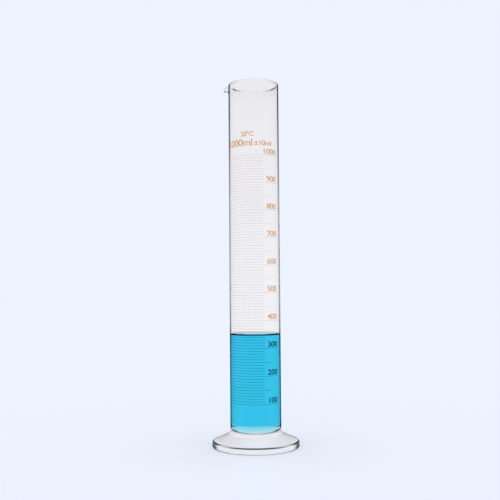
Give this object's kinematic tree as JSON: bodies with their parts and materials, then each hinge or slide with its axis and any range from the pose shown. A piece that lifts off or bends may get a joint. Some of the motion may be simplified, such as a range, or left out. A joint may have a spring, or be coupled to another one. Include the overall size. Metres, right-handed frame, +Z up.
{
  "type": "graduated measuring cylinder",
  "caption": "Tall glass measuring cylinder on a round pressed foot, with a pouring spout, a fired enamel volume scale and a dyed liquid filling, for measuring and pouring liquids.",
  "frame": {"origin": "centre of the ring that the foot stands on", "axes": "+Z up along the barrel's axis, -Y towards the reader of the scale, -X the way the spout pours"},
  "size_m": [0.111, 0.111, 0.4665],
  "materials": {
    "barrel_glass": "polished",
    "foot_glass": "polished",
    "dyed_liquid": "polished",
    "fired_enamel": "satin"
  },
  "bodies": {
    "root": {"barrel": "barrel_glass", "foot": "foot_glass", "liquid": "dyed_liquid", "ten_ml_lines": "fired_enamel", "fifty_ml_lines": "fired_enamel", "hundred_ml_lines": "fired_enamel"}
  },
  "joints": []
}
